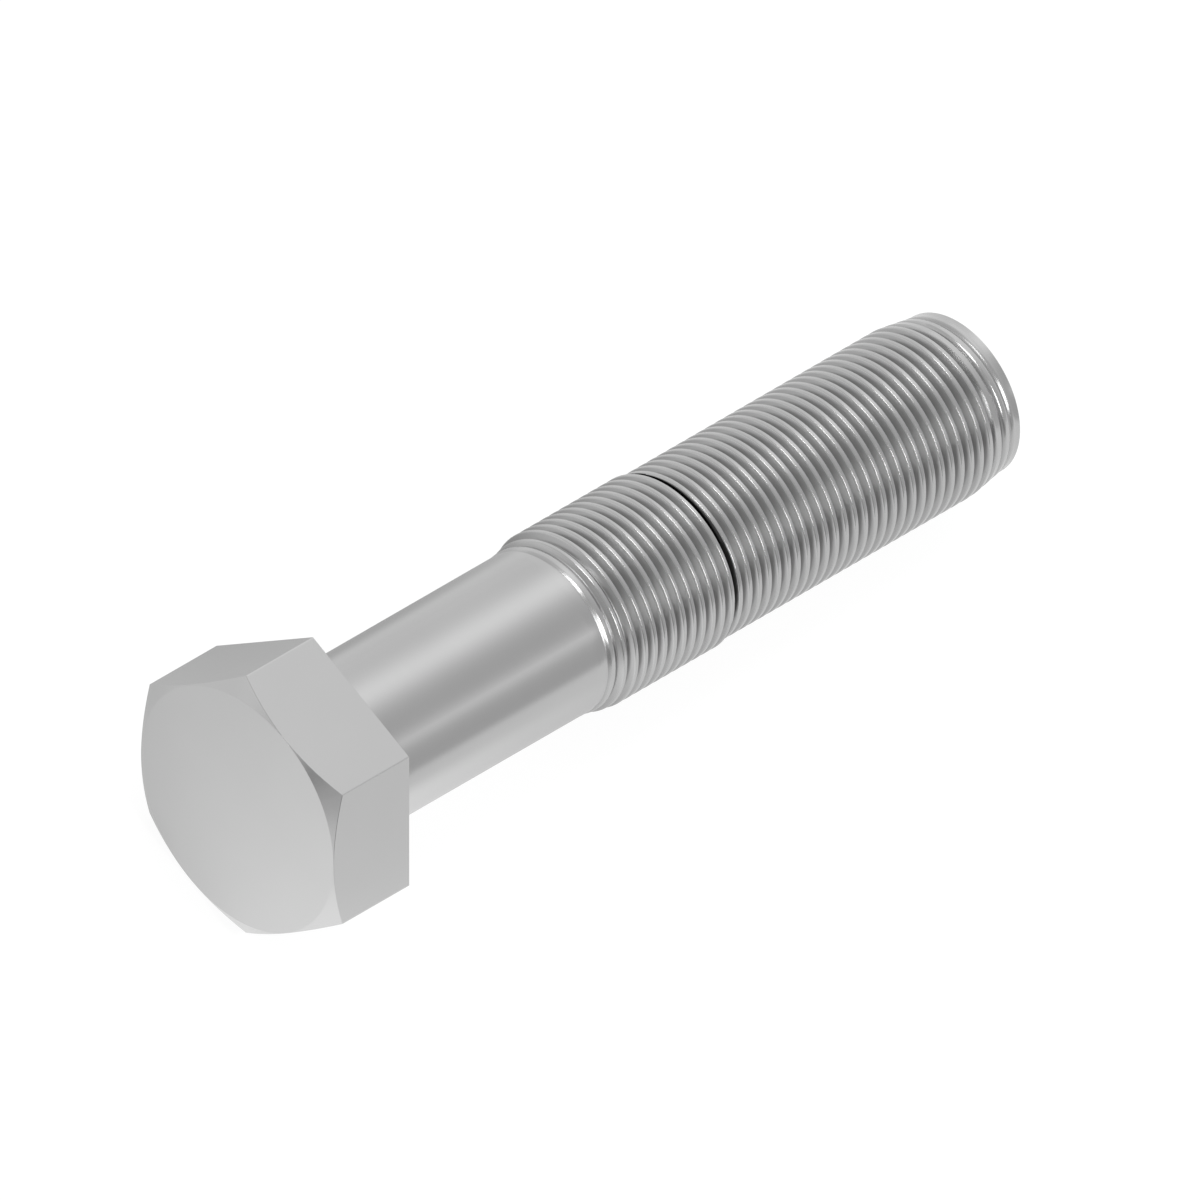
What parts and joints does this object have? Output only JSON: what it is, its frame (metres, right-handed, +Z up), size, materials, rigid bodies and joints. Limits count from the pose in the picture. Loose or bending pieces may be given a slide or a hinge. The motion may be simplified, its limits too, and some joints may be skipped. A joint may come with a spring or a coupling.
{
  "type": "hex cap screw",
  "caption": "Hex cap screw with a chamfered hexagon head, thin washer face, plain shank and a long fine right-hand thread to a tapered point.",
  "frame": {"origin": "centre of the bearing face under the head, on the screw's axis", "axes": "+X along the screw from the head to the tip, tipped down by the 2.7 degrees at which it rests; +Z up; one flat of the head faces down"},
  "size_m": [0.1131, 0.0346, 0.0305],
  "materials": {
    "steel": "plain satin steel, turned and rolled, with no coating"
  },
  "bodies": {
    "root": {"cap_screw": "steel"}
  },
  "joints": []
}
